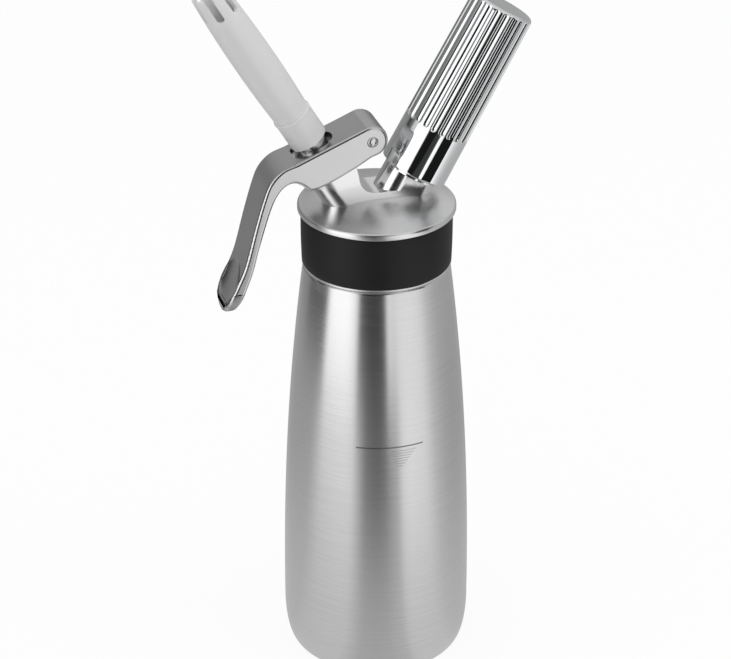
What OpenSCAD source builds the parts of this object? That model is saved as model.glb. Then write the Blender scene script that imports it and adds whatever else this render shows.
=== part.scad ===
// Whipped cream dispenser: a steel bottle with a screw-on head that carries a lever valve with its
// decorating nozzle on one side and a gas charger in its holder on the other.
// Millimetres. The bottle stands on z = 0, its axis is the Z axis, the lever points to -X.

/* [Bottle] */
// Largest radius of the bottle, low on its belly
bottle_r = 39.6; // [37:0.1:44]
// Radius of the flat foot that the bottle stands on
foot_r = 35.4; // [34:0.1:36.5]
// Height at which the belly is widest
belly_z = 18.9; // [14:0.1:26]
// Height of the bottle's shoulder
body_h = 179.8; // [150:0.1:220]
// Radius of the bottle just under the shoulder
shoulder_r = 30.1; // [29.8:0.1:31]
// How late the side draws in towards the shoulder, as a power
taper_power = 2.16; // [1.6:0.01:2.8]
// Thickness of the bottle's wall
bottle_wall = 0.9; // [0.7:0.05:1.2]
// Thickness of the bottle's floor
floor_t = 1.6; // [1:0.1:3]
// Rounding of the shoulder's outer edge
shoulder_round = 1.6; // [0.8:0.1:1.8]
// Outer radius of the neck, under its thread
neck_r = 26.4; // [25.8:0.1:27]
// Thickness of the neck's wall
neck_wall = 1.3; // [1:0.1:1.8]
// Height of the neck's thread above the neck
thread_depth = 0.9; // [0.6:0.05:1.1]
// Pitch of the neck's thread
thread_pitch = 4; // [3:0.1:4.5]
// Number of thread ridges on the neck
thread_count = 3; // [2:1:4]
// Distance from the neck's rim to its first thread ridge
thread_start = 3.2; // [2.6:0.1:4]

/* [Head] */
// Radius of the head's steel rim
rim_r = 32.2; // [31.4:0.1:33]
// Thickness of the head at its rim
rim_t = 2.9; // [2.6:0.1:3.4]
// Rounding of the rim's upper edge
rim_round = 1.2; // [0.6:0.1:1.4]
// Rise of the head's domed top
dome_h = 4.6; // [3.5:0.1:5.5]
// Wall of the skirt that covers the neck
skirt_wall = 1.3; // [1:0.1:1.6]
// Clearance between the skirt and the neck's thread
thread_clear = 0.15; // [0.1:0.01:0.3]
// Height of the rubber grip band
band_h = 22.6; // [20:0.1:26]
// Thickness of the rubber grip band
band_t = 2.15; // [1.6:0.05:2.4]
// Taper of the band towards its foot
band_taper = 0.35; // [0:0.05:0.6]
// Height of the steel lip under the band
lip_h = 0.9; // [0.7:0.05:1.4]
// Gap between the head's lip and the bottle's shoulder
lip_gap = 0.3; // [0.2:0.05:0.6]
// Radius of the hollow under the head
hollow_r = 23.4; // [22:0.1:24]
// Thickness of the head's rubber gasket
gasket_t = 2; // [1.5:0.1:2.5]
// Width of the head's rubber gasket
gasket_w = 2.9; // [2.2:0.1:3]
// Gap around the gasket inside the skirt
gasket_gap = 0.3; // [0.2:0.05:0.5]
// Half thickness of the block on top of the head
block_half = 8; // [7.6:0.1:8.6]
// Height of the saddle's floor above the rim
saddle_z = 7; // [6:0.1:8]
// Radius of the saddle's hollow beside the valve arm
saddle_r = 8; // [6:0.1:9]
// X position of the saddle hollow's centre
saddle_x = -1.6; // [-2:0.1:-1]

/* [Valve] */
// Distance from the bottle's axis to the valve's axis, at the rim
valve_x = 9.7; // [9:0.1:10.5]
// Lean of the valve's axis from upright
valve_tilt = 31; // [29:0.5:32]
// Distance from the valve's axis to the centre of the housing's rounded nose
nose_offset = 2; // [1:0.1:3]
// Top of the valve housing along the valve's axis
housing_top = 21.5; // [19:0.1:22]
// Bottom of the valve housing along the valve's axis
housing_end = 10; // [8:0.1:12]
// Outer radius of the housing below the head
throat_r = 6.6; // [6:0.1:7.5]
// Radius of the valve stem
stem_r = 3.6; // [3.3:0.05:3.8]
// Radius of the stem's bore
stem_bore_r = 2.1; // [1.6:0.05:2.2]
// Running clearance of the stem in its bush
stem_clear = 0.05; // [0.02:0.01:0.1]
// Radius of the cream inlets across the stem
inlet_r = 0.9; // [0.6:0.05:1]
// Outer radius of the guide bush
bush_r = 5.2; // [4.9:0.05:5.4]
// Length of the guide bush
bush_l = 17; // [14:0.5:18]
// Thickness of the stem's O-ring
ring_t = 0.9; // [0.7:0.05:1]
// Outer radius of the valve's rubber seal
seal_r = 6; // [5.4:0.1:6.4]
// Thickness of the valve's rubber seal
seal_t = 2; // [1.5:0.1:2.5]
// Thickness of the cap that holds the seal
cap_t = 2.2; // [1.6:0.1:3]
// Wire diameter of the valve spring
wire_d = 1; // [0.8:0.05:1.1]
// Number of turns of the valve spring
spring_turns = 6; // [5:0.5:7]
// Radius of the spring's middle line
spring_r = 5.3; // [5.1:0.05:5.5]
// Clearance between the spring and the housing's counterbore
spring_clear = 0.3; // [0.2:0.05:0.5]

/* [Lever] */
// Width of the lever
lever_w = 20.4; // [20:0.1:21]
// Gap between the head's block and each cheek of the lever
cheek_gap = 0.5; // [0.4:0.05:0.6]
// Thickness of the lever's strap over the valve
strap_t = 2; // [1.8:0.05:2.1]
// X position of the pivot pin
pin_x = -4.8; // [-5.4:0.1:-4.4]
// Height of the pivot pin above the rim
pin_z = 30.4; // [30.2:0.1:31.5]
// Radius of the pivot pin
pin_r = 2; // [1.6:0.05:2.1]
// Running clearance of the pivot pin
pin_clear = 0.05; // [0.02:0.01:0.08]
// Radius of the pin's domed heads
pin_head_r = 1.9; // [1.7:0.05:1.95]
// Height of the pin's domed heads
pin_head_h = 0.6; // [0.4:0.05:1]
// Radius of the head's ear around the pin
ear_r = 4; // [3.8:0.05:4.2]
// Radius of the lever's end around the pin
lever_end_r = 6.5; // [6.4:0.05:6.8]
// Slope of the lever's strap from level
strap_slope = 22.5; // [21:0.5:24]
// Length of the straight strap from the pin to the bend
strap_l = 31; // [29:0.5:32]
// Length of the slot that the valve passes through
slot_l = 20; // [18.5:0.1:21]
// Width of the slot that the valve passes through
slot_w = 13.2; // [12.8:0.1:14]
// Thickness of the two washers beside the block
washer_t = 0.4; // [0.3:0.05:0.4]
// Radius of the two washers beside the block
washer_r = 3.8; // [3.2:0.1:4]
// Height of the handle's round tip above the rim, below zero
tip_z = -41; // [-46:0.5:-38]

/* [Nozzle] */
// Gap between the resting lever and the adapter's flange
press_gap = 0.12; // [0.08:0.01:0.2]
// Thickness of the adapter's flange
flange_h = 1.5; // [1.2:0.1:1.6]
// Radius of the adapter's flange
flange_r = 7.8; // [7.4:0.1:8]
// Radius of the adapter's neck in the lever's slot
adapter_r = 5.9; // [5.6:0.1:6]
// Start of the nozzle along the valve's axis
nozzle_t0 = 36; // [35.5:0.1:37]
// Length of the nozzle
nozzle_l = 77; // [60:0.5:90]
// Radius of the nozzle's foot
nozzle_r = 7.8; // [7.4:0.05:8]
// Radius of the nozzle above its ridge
waist_r = 7.4; // [7.2:0.05:7.7]
// Radius of the nozzle where it swells most
swell_r = 8.1; // [7.8:0.05:8.4]
// Height of the swelling above the nozzle's foot
swell_z = 39; // [34:0.5:44]
// Radius of the nozzle at its mouth
mouth_r = 6.8; // [6.4:0.05:7.1]
// Length of the nozzle's foot, up to its ridge
foot_l = 13.5; // [12.5:0.5:16]
// Height of the ridge round the nozzle
ridge_h = 0.25; // [0.15:0.05:0.4]
// Wall of the nozzle
nozzle_wall = 1.2; // [0.9:0.05:1.4]
// Length of the slots in the nozzle's mouth
notch_l = 10; // [7:0.5:14]
// Width of the slots in the nozzle's mouth
notch_w = 3.2; // [2.4:0.1:3.6]
// Number of slots in the nozzle's mouth
notch_count = 6; // [4:2:8]
// Radius of the adapter's threaded spigot
spigot_r = 5.2; // [4.9:0.05:5.4]
// Length of the adapter's threaded spigot
spigot_l = 10; // [8:0.5:11]
// Clearance of the screwed and pushed-in parts
part_clear = 0.1; // [0.05:0.01:0.15]

/* [Charger] */
// Distance from the bottle's axis to the charger's axis, at the rim
charger_x = 8.8; // [8.5:0.1:10]
// Lean of the charger's axis from upright
charger_tilt = 29.1; // [28:0.1:30]
// Radius of the port that the holder screws on
port_r = 11.2; // [11:0.05:11.4]
// Reach of the port's flat-sided foot towards the valve, across the charger's axis
port_foot_in = 12; // [11.4:0.1:12.4]
// Reach of the port's flat-sided foot away from the valve
port_foot_out = 11; // [10.4:0.1:11.6]
// Top of the port along the charger's axis
port_top = 25; // [22:0.5:26]
// Depth of the port below the rim, along the charger's axis
port_end = 8; // [6:0.5:9]
// Height of the port's threaded part
port_thread_l = 9; // [8:0.5:10]
// Start of the holder along the charger's axis
holder_s0 = 13.6; // [13:0.1:14.5]
// Length of the holder
holder_l = 76; // [75:0.5:82]
// Radius of the holder at its foot
holder_r = 14; // [13.6:0.05:14.3]
// Radius of the holder at its top
holder_top_r = 13.2; // [12.8:0.05:13.5]
// Clearance between the holder and the port
holder_clear = 0.2; // [0.1:0.05:0.3]
// Height of the smooth zone at the holder's foot
smooth_h = 18; // [15:0.5:22]
// Height of the plain lip at the holder's top
holder_lip = 4; // [3:0.5:6]
// Number of grip flutes round the holder
flute_count = 32; // [24:1:36]
// Depth of the grip flutes
flute_depth = 0.6; // [0.3:0.05:0.7]
// Radius of the cutter that makes the flutes
flute_r = 1.1; // [0.9:0.05:1.3]
// Rounding of the holder's top edge
holder_round = 2; // [1:0.1:3]
// Radius of the gas charger's body
cyl_r = 9.3; // [9.2:0.05:9.4]
// Length of the gas charger
cyl_l = 65.5; // [64:0.5:67]
// Radius of the gas charger's neck
cyl_neck_r = 4.4; // [4:0.05:4.6]
// Length of the gas charger's neck
cyl_neck_l = 8; // [7:0.5:9]
// Length of the gas charger's shoulder
cyl_shoulder_l = 11; // [9:0.5:12]
// Wall of the gas charger
cyl_wall = 1.4; // [1:0.1:1.8]
// Thickness of the foil disc over the gas charger's mouth
foil_t = 0.3; // [0.2:0.05:0.5]
// Clearance between the gas charger and the liner
cyl_clear = 0.3; // [0.2:0.05:0.4]
// Thickness of the plastic liner in the holder
liner_t = 1; // [0.8:0.05:1.1]
// Thickness of the port's rubber gasket
port_gasket_t = 1.5; // [1.2:0.1:2]
// Outer radius of the piercing insert
insert_r = 5; // [4.6:0.1:5.2]
// Length of the piercing insert
insert_l = 8; // [6:0.5:9]
// Radius of the piercing needle
needle_r = 1.1; // [0.9:0.05:1.3]
// Reach of the needle above the port's gasket
needle_reach = 1.6; // [1:0.1:2]
// Thickness of the rubber check valve sleeve
sleeve_t = 0.7; // [0.5:0.05:0.9]

/* [Hidden] */

$fn = 96;
big = 200;                  // reach of cutters that run right through
sink = 0.5;                 // how far the thread ridges run into the neck
ridge_half = 1;             // half width of a thread ridge at its root
crest_half = 0.4;           // half width of a thread ridge at its crest

// Heights that the stack of bottle, lip, band and rim gives
rim_z = body_h + lip_gap + lip_h + band_h + rim_t;
neck_top = rim_z - rim_t - gasket_t;
skirt_in = neck_r + thread_depth + thread_clear;
skirt_out = skirt_in + skirt_wall;
band_out = skirt_out + band_t;
lip_r = band_out - band_taper;
dome_r = rim_r - rim_round;
rim_chamfer = 0.5;                         // chamfer under the rim

// Head block: places in its side view
block_x0 = -22;                            // where the block's foot starts
block_x1 = 14;                             // where the block's foot ends
saddle_lip = 1.2;                          // lean of the saddle's upper edge
shoulder_x = 2.4;                          // how far the block's upper shoulder stands out
shoulder_up = 5;                           // height of that shoulder over the housing's top

// Valve: places along its axis, from the rim plane
strap_out = lever_end_r;                   // the strap's top, from the pin
strap_in = strap_out - strap_t;            // the strap's underside, from the pin
cheek_in = block_half + cheek_gap;         // inner face of each cheek
seal_top = -housing_end;
cap_top = seal_top - seal_t;
bush_top = -housing_end + bush_l;
spring_bore_r = spring_r + wire_d / 2 + spring_clear;
// the flange's edge nearest the pin lies just under the strap
flange_edge = [-valve_x + flange_r * cos(valve_tilt) - pin_x, flange_r * sin(valve_tilt) - pin_z];
strap_up = [-sin(strap_slope), cos(strap_slope)];
flange_top = (strap_in - press_gap - flange_edge * strap_up) / cos(valve_tilt - strap_slope);
flange_t0 = flange_top - flange_h;
spring_top = flange_t0;
seat_t = 1;                                // length of the adapter's collar inside the nozzle
adapter_top = nozzle_t0 + seat_t + spigot_l;
insert_t = 1.1;                            // wall of the nozzle's threaded insert
insert_top = adapter_top + 0.5;
ring_t0 = bush_top - 5;                    // middle of the stem's O-ring
spigot_ridge = 0.35;                       // height of the spigot's thread ridges
spigot_ridge_h = 1.1;                      // width of the spigot's thread ridges
spigot_pitch = 2.5;                        // pitch of the spigot's thread
insert_in = spigot_r + spigot_ridge + part_clear;
insert_out = insert_in + insert_t;

// Lever outline: hand-set points of its lower edge and handle, in X and height above the rim
handle_in = [[-54.2, -20], [-51.4, -9.6], [-46.6, 5.8], [-43.4, 12.5], [-40.2, 15.7], [-37, 16.5],
    [-34, 15.2], [-31, 12.8], [-27.6, 12.7], [-21.3, 14.9], [-11.2, 19.9], [-5.2, 23.4]];
handle_out = [[-42.2, 22.2], [-47, 17.4], [-49.9, 10.4], [-53.3, -1], [-57.5, -16.6], [-61, -25]];
handle_end_out = [[-64.2, -31.5], [-66, -37], [-65.8, -41.5]];
handle_end_in = [[-61.3, -41.5], [-60.2, -35.5], [-57.8, -29.5]];
cavity_end = -37.5;                        // where the hollow between the cheeks ends

// Valve spring: six-sided wire, eight rings to a turn
spring_sides = 6;
spring_steps = 8;
end_turns = 1;                             // closely wound turns at each end
end_gap = 0.5;                             // gap between the wires of an end turn

// Charger: places along its axis
port_seat = port_top - 12.5;               // floor of the port's socket
cyl_s0 = port_seat + port_gasket_t;        // mouth of the gas charger
cyl_top = cyl_s0 + foil_t + cyl_l;
holder_top = holder_s0 + holder_l;
liner_r = cyl_r + cyl_clear + liner_t;
socket_r = cyl_neck_r + 1;
holder_in = port_r + holder_clear;
liner_s0 = port_top + 1;
liner_top = cyl_top - 2;
port_foot_top = holder_s0 - 0.4;           // the flat-sided foot ends just under the holder
boss_r = insert_r + 2.6;                   // boss under the dome that takes the piercing insert
port_groove = 0.5;                         // depth of the port's thread grooves
port_groove_w = 0.8;                       // width of the port's thread grooves
port_pitch = 2;                            // pitch of the port's thread
port_rim = 1.1;                            // width of the port's top rim
sleeve_l = 3.2;                            // length of the check valve sleeve

// Points on an arc round c from angle a0 to a1
function arc(c, r, a0, a1, n = 12) =
    [for (i = [0 : n]) let (a = a0 + (a1 - a0) * i / n) c + r * [cos(a), sin(a)]];

// A point of the smooth curve through four points, between the middle two
function curve_point(a, b, c, d, t) =
    0.5 * (2 * b + (c - a) * t + (2 * a - 5 * b + 4 * c - d) * t * t
        + (3 * b - a - 3 * c + d) * t * t * t);

// A smooth curve through points p, with n steps between neighbours
function smooth(p, n = 4) = let (last = len(p) - 1)
    concat([for (i = [0 : last - 1], k = [0 : n - 1])
        curve_point(p[max(i - 1, 0)], p[i], p[i + 1], p[min(i + 2, last)], k / n)], [p[last]]);

// Radius of the bottle's outside above the belly
function side_r(z) = bottle_r
    + (shoulder_r - bottle_r) * pow((z - belly_z) / (body_h - belly_z), taper_power);

// Height of the head's top above the rim, at radius r
function dome_z(r) = dome_h * (1 - pow(r / dome_r, 2));

// Frames of the leaning axes: z runs outward along the axis from the rim plane
module on_rim() translate([0, 0, rim_z]) children();
module on_valve() on_rim() translate([-valve_x, 0, 0]) rotate([0, -valve_tilt, 0]) children();
module on_charger() on_rim() translate([charger_x, 0, 0]) rotate([0, charger_tilt, 0]) children();

// A flat shape in X and height, given thickness w across Y
module slab(w) rotate([90, 0, 0]) linear_extrude(w, center = true) children();

// A ring or tube between two heights
module tube(r_out, r_in, z0, z1) difference() {
    translate([0, 0, z0]) cylinder(r = r_out, h = z1 - z0);
    translate([0, 0, z0 - 1]) cylinder(r = r_in, h = z1 - z0 + 2);
}

// A torus, for O-rings
module o_ring(r, t, z) translate([0, 0, z]) rotate_extrude() translate([r, 0]) circle(t / 2);

module bottle() color([0.72, 0.72, 0.71]) {
    side_n = 14;
    top_z = body_h - shoulder_round;
    side = [for (i = [0 : side_n]) belly_z + (top_z - belly_z) * i / side_n];
    top_r = side_r(top_z);
    outside = concat(
        [for (a = [0 : 10 : 80]) [foot_r + (bottle_r - foot_r) * sin(a), belly_z * (1 - cos(a))]],
        [for (z = side) [side_r(z), z]],
        arc([top_r - shoulder_round, top_z], shoulder_round, 0, 90, 6),
        [[neck_r, body_h], [neck_r, neck_top]]);
    inside = concat(
        [[neck_r - neck_wall, neck_top], [neck_r - neck_wall, body_h - bottle_wall]],
        [for (i = [side_n : -1 : 0]) [side_r(side[i]) - bottle_wall, side[i]]],
        [for (a = [80 : -10 : 0]) [foot_r + (bottle_r - foot_r) * sin(a) - bottle_wall,
            floor_t + (belly_z - floor_t) * (1 - cos(a))]],
        [[0, floor_t]]);
    rotate_extrude() polygon(concat([[0, 0]], outside, inside));
    for (i = [0 : thread_count - 1])
        translate([0, 0, neck_top - thread_start - i * thread_pitch])
            rotate_extrude() polygon([[neck_r - sink, -ridge_half], [neck_r, -ridge_half],
                [neck_r + thread_depth, -crest_half], [neck_r + thread_depth, crest_half],
                [neck_r, ridge_half], [neck_r - sink, ridge_half]]);
}

// Head: dome, rim and skirt in one turned shape
module head_shell() rotate_extrude() polygon(concat(
    [[0, dome_z(dome_r / 10)]],
    [for (i = [1 : 10]) let (r = dome_r * i / 10) [r, dome_z(r)]],
    arc([dome_r, -rim_round], rim_round, 80, 0, 6),
    [[rim_r, -rim_t + rim_chamfer], [rim_r - rim_chamfer, -rim_t], [skirt_out, -rim_t],
     [skirt_out, -rim_t - band_h], [lip_r, -rim_t - band_h], [lip_r, -rim_t - band_h - lip_h],
     [skirt_in, -rim_t - band_h - lip_h], [skirt_in, -rim_t], [hollow_r, -rim_t]],
    [for (i = [10 : -1 : 1]) let (r = hollow_r * i / 10) [r, dome_z(r) - rim_t]],
    [[0, dome_z(hollow_r / 10) - rim_t]]));

// A point beside the valve's axis: x across it, t along it from the rim plane
function by_valve(x, t) = [-valve_x + x * cos(valve_tilt) - t * sin(valve_tilt),
    x * sin(valve_tilt) + t * cos(valve_tilt)];

// Head: the block that joins the valve arm, the saddle and the ear for the pin
module head_block() {
    ear_side = 35;          // slope of the ear's upper side, steeper than the pressed strap
    nose_x = -nose_offset - block_half - 1;
    intersection() {
        slab(2 * block_half + 4) polygon(concat(
            [for (i = [0 : 9]) let (x = block_x0 + (block_x1 - block_x0) * i / 9)
                [x, dome_z(abs(x)) - rim_t / 2]],
            [[charger_x + saddle_z * tan(charger_tilt), saddle_z]],
            arc([saddle_x, saddle_z + saddle_r], saddle_r, -90, -180, 10),
            [[saddle_x - saddle_r - saddle_lip, saddle_z + saddle_r + 5]],
            arc([pin_x, pin_z], ear_r, -50, 90 + ear_side, 14),
            [by_valve(block_half + shoulder_x, housing_top + shoulder_up),
             by_valve(block_half, housing_top),
             by_valve(nose_x, housing_top), by_valve(nose_x, 2)]));
        // stadium section across the valve's axis
        translate([-valve_x, 0, 0]) rotate([0, -valve_tilt, 0])
            linear_extrude(big, center = true) union() {
                translate([-nose_offset, 0]) circle(block_half);
                translate([-nose_offset, -block_half]) square([big, 2 * block_half]);
            }
    }
}

// Head: flat-sided foot of the charger port, with a stadium section, nearly as thick as the block
module port_foot() {
    half = block_half - 0.1;
    intersection() {
        on_charger() linear_extrude(port_foot_top) union() {
            translate([half - port_foot_in, 0]) circle(half);
            translate([port_foot_out - half, 0]) circle(half);
            translate([half - port_foot_in, -half])
                square([port_foot_in + port_foot_out - 2 * half, 2 * half]);
        }
        on_rim() translate([-big / 2, -big / 2, 0.5]) cube(big);
    }
}

module head() color([0.78, 0.78, 0.77]) difference() {
    union() {
        on_rim() head_shell();
        on_rim() head_block();
        on_valve() translate([0, 0, -housing_end]) cylinder(r = throat_r, h = housing_end + 6);
        on_charger() translate([0, 0, -port_end])
            cylinder(r = boss_r, h = port_end + 8);
        port_foot();
        on_charger() translate([0, 0, port_foot_top])
            cylinder(r = port_r, h = port_top - port_foot_top);
    }
    // valve: bush bore and spring counterbore
    on_valve() translate([0, 0, -housing_end - 1]) cylinder(r = bush_r, h = big);
    on_valve() translate([0, 0, bush_top]) cylinder(r = spring_bore_r, h = big);
    // pivot pin bore
    on_rim() translate([pin_x, block_half + 1, pin_z]) rotate([90, 0, 0])
        cylinder(r = pin_r + pin_clear, h = 2 * block_half + 2);
    // charger port: socket for the charger's neck, gasket seat and piercing insert bore
    on_charger() translate([0, 0, port_seat]) cylinder(r = socket_r + 0.4, h = big);
    on_charger() translate([0, 0, port_seat + cyl_neck_l]) cylinder(r1 = socket_r + 0.4,
        r2 = port_r - port_rim, h = port_top - port_seat - cyl_neck_l + 0.01);
    on_charger() translate([0, 0, port_seat - insert_l]) cylinder(r = insert_r, h = insert_l + 1);
    on_charger() translate([0, 0, -port_end - 1]) cylinder(r = insert_r - 1.4, h = big / 4);
    // thread relief round the port
    on_charger() translate([0, 0, port_top - port_thread_l]) for (i = [0 : 3])
        tube(port_r + 1, port_r - port_groove, (i + 0.3) * port_pitch,
            (i + 0.3) * port_pitch + port_groove_w);
}

module grip_band() color([0.12, 0.12, 0.13]) on_rim() rotate_extrude() polygon(concat(
    [[skirt_out, -rim_t], [skirt_out, -rim_t - band_h], [lip_r - 0.2, -rim_t - band_h]],
    [[band_out - band_taper, -rim_t - band_h + 0.6], [band_out, -rim_t - band_h * 0.55],
     [band_out, -rim_t - 0.6], [band_out - 0.5, -rim_t]]));

module head_gasket() color([0.75, 0.1, 0.08]) on_rim()
    tube(skirt_in - gasket_gap, skirt_in - gasket_gap - gasket_w, -rim_t - gasket_t, -rim_t);

// Side view of the lever, with its cheeks and handle
module lever_outline() {
    pin = [pin_x, pin_z];
    up = strap_slope + 90;
    strap_end = pin + strap_out * [cos(up), sin(up)] - strap_l * [cos(strap_slope), sin(strap_slope)];
    polygon(concat(
        arc(pin, strap_out, -70, up, 20),
        smooth(concat([strap_end], handle_out, handle_end_out)),
        smooth(concat(handle_end_in, handle_in))));
}

// Side view of the hollow between the cheeks
module lever_hollow() {
    pin = [pin_x, pin_z];
    up = strap_slope + 90;
    corner = pin + strap_in * [cos(up), sin(up)];
    reach = (corner[0] - cavity_end) / cos(strap_slope);
    far = corner - reach * [cos(strap_slope), sin(strap_slope)];
    polygon(concat(
        arc(pin, strap_in, -60, up, 20),
        [far, [cavity_end - 0.5, far[1] - 4], [cavity_end, 0], [big, 0]]));
}

module lever() color([0.74, 0.74, 0.73]) on_rim() difference() {
    intersection() {
        slab(lever_w) lever_outline();
        // round end of the handle, seen from the front
        rotate([90, 0, -90]) linear_extrude(2 * big, center = true) union() {
            translate([0, tip_z + lever_w / 2]) circle(lever_w / 2);
            translate([-lever_w / 2, tip_z + lever_w / 2]) square([lever_w, big]);
        }
    }
    slab(2 * cheek_in) lever_hollow();
    // slot for the valve, along the strap
    translate([-valve_x, 0, 0]) rotate([0, -valve_tilt, 0])
        translate([0, 0, flange_top]) rotate([0, valve_tilt - strap_slope, 0])
            linear_extrude(20, center = true) union() {
                square([slot_l - slot_w, slot_w], center = true);
                for (side = [-1, 1]) translate([side * (slot_l - slot_w) / 2, 0])
                    circle(slot_w / 2);
            }
    // pin bore through both cheeks
    translate([pin_x, big / 2, pin_z]) rotate([90, 0, 0]) cylinder(r = pin_r + part_clear / 2, h = big);
}

module pivot_pin() color([0.8, 0.8, 0.8]) on_rim() translate([pin_x, 0, pin_z])
    rotate([90, 0, 0]) rotate_extrude() polygon(concat([[0, -lever_w / 2 - pin_head_h]],
        [for (a = [15 : 15 : 90]) [pin_head_r * sin(a), -lever_w / 2 - pin_head_h * cos(a)]],
        [[pin_r, -lever_w / 2 + 0.2], [pin_r, lever_w / 2 - 0.2]],
        [for (a = [90 : -15 : 15]) [pin_head_r * sin(a), lever_w / 2 + pin_head_h * cos(a)]],
        [[0, lever_w / 2 + pin_head_h]]));

module pivot_washers() color([0.9, 0.9, 0.88]) on_rim() for (side = [-1, 1])
    translate([pin_x, side * (block_half + cheek_gap / 2), pin_z]) rotate([90, 0, 0])
        tube(washer_r, pin_r + part_clear / 2, -washer_t / 2, washer_t / 2);

module valve_bush() color([0.8, 0.65, 0.35]) on_valve()
    tube(bush_r, stem_r + stem_clear, -housing_end, bush_top);

module valve_stem() color([0.7, 0.7, 0.72]) on_valve() difference() {
    translate([0, 0, cap_top]) cylinder(r = stem_r, h = adapter_top - cap_top);
    translate([0, 0, seal_top]) cylinder(r = stem_bore_r, h = big);
    // cream inlets above the seal
    for (a = [0, 90]) rotate([0, 0, a]) translate([0, 0, seal_top + inlet_r + 0.1])
        rotate([0, 90, 0]) cylinder(r = inlet_r, h = 4 * stem_r, center = true);
    // groove for the O-ring
    translate([0, 0, ring_t0]) tube(stem_r + 1, stem_r - ring_t, -ring_t / 2, ring_t / 2);
}

module stem_o_ring() color([0.1, 0.1, 0.1]) on_valve()
    o_ring(stem_r - ring_t / 2, ring_t - 0.04, ring_t0);

module valve_seal() color([0.12, 0.12, 0.12]) on_valve() tube(seal_r, stem_r, cap_top, seal_top);

module seal_cap() color([0.72, 0.72, 0.74]) on_valve() rotate_extrude() polygon([[0, cap_top],
    [seal_r - 0.4, cap_top], [seal_r - 0.4, cap_top - cap_t + 0.8], [seal_r - 1.2, cap_top - cap_t],
    [0, cap_top - cap_t]]);

// Spring: one unbroken wire wound round the stem, with closely wound end turns
spring_rings = round(spring_turns * spring_steps);
function spring_z(turn) = let (z0 = bush_top + wire_d / 2, z1 = spring_top - wire_d / 2,
    flat = wire_d + end_gap, free = spring_turns - 2 * end_turns)
    turn <= end_turns ? z0 + flat * turn / end_turns
    : turn >= spring_turns - end_turns ? z1 - flat * (spring_turns - turn) / end_turns
    : z0 + flat + (z1 - z0 - 2 * flat) * (turn - end_turns) / free;
// Point k of ring i, on the wire's surface or, with r = 0, on its middle line
function spring_point(i, k = 0, r = 0) = let (a = 360 * i / spring_steps, b = 360 * k / spring_sides)
    [(spring_r + r * cos(b)) * cos(a), (spring_r + r * cos(b)) * sin(a),
        spring_z(i / spring_steps) + r * sin(b)];
// Least gap between the wire and its own next turns, measured on the middle line's points
spring_gap = min([for (i = [0 : spring_rings], j = [i + spring_steps / 2 : spring_rings])
    norm(spring_point(i) - spring_point(j))]) - wire_d;
echo(spring_gap = spring_gap);

module valve_spring() color([0.65, 0.65, 0.66]) on_valve() {
    rings = spring_rings;
    points = [for (i = [0 : rings], k = [0 : spring_sides - 1]) spring_point(i, k, wire_d / 2)];
    ring_faces = [for (i = [0 : rings - 1], k = [0 : spring_sides - 1])
        let (a = i * spring_sides + k, b = i * spring_sides + (k + 1) % spring_sides,
            c = a + spring_sides, d = b + spring_sides) each [[a, b, d], [a, d, c]]];
    end_faces = [for (k = [1 : spring_sides - 2]) each [[0, k + 1, k],
        [rings * spring_sides, rings * spring_sides + k, rings * spring_sides + k + 1]]];
    polyhedron(points, concat(ring_faces, end_faces));
}

module nozzle_adapter() color([0.75, 0.75, 0.74]) on_valve() difference() {
    union() {
        translate([0, 0, flange_t0]) cylinder(r = flange_r, h = flange_h);
        translate([0, 0, flange_t0]) cylinder(r = adapter_r, h = nozzle_t0 + seat_t - flange_t0);
        translate([0, 0, nozzle_t0]) cylinder(r = spigot_r, h = adapter_top - nozzle_t0);
        for (i = [1 : 3]) translate([0, 0, nozzle_t0 + i * spigot_pitch])
            cylinder(r = spigot_r + spigot_ridge, h = spigot_ridge_h);
    }
    translate([0, 0, flange_t0 - 1]) cylinder(r = stem_r, h = big);
}

module nozzle_insert() color([0.7, 0.7, 0.7]) on_valve()
    tube(insert_out, insert_in, nozzle_t0 + seat_t + part_clear, insert_top);

// Radius of the nozzle at a height above its foot: it swells from its waist and narrows to its mouth
function nozzle_side(z) = swell_r - (z < swell_z
    ? (swell_r - waist_r) * pow((swell_z - z) / (swell_z - foot_l), 2)
    : (swell_r - mouth_r) * pow((z - swell_z) / (nozzle_l - swell_z), 2));

module nozzle() color([0.9, 0.9, 0.91]) on_valve() difference() {
    translate([0, 0, nozzle_t0]) rotate_extrude() polygon(concat([[0, 0], [nozzle_r - 0.5, 0],
        [nozzle_r, 0.5], [nozzle_r, foot_l - 0.6], [nozzle_r + ridge_h, foot_l - 0.4],
        [nozzle_r + ridge_h, foot_l]],
        [for (i = [0 : 12]) let (z = foot_l + 0.3 + (nozzle_l - foot_l - 0.7) * i / 12)
            [nozzle_side(z), z]],
        [[mouth_r - 0.3, nozzle_l], [0, nozzle_l]]));
    translate([0, 0, nozzle_t0 - 1]) cylinder(r = adapter_r + part_clear, h = seat_t + 1 + part_clear);
    translate([0, 0, nozzle_t0]) cylinder(r = insert_out, h = insert_top - nozzle_t0);
    translate([0, 0, insert_top - 0.1]) cylinder(r1 = insert_out - 0.4, r2 = mouth_r - nozzle_wall,
        h = nozzle_t0 + nozzle_l - insert_top + 0.2);
    for (i = [0 : notch_count / 2 - 1]) rotate([0, 0, 360 / notch_count * i + 15]) {
        translate([-mouth_r - 1, -notch_w / 2, nozzle_t0 + nozzle_l - notch_l])
            cube([2 * mouth_r + 2, notch_w, notch_l + 1]);
        translate([0, 0, nozzle_t0 + nozzle_l - notch_l]) rotate([0, 90, 0])
            cylinder(r = notch_w / 2, h = 2 * mouth_r + 2, center = true);
    }
}

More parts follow.
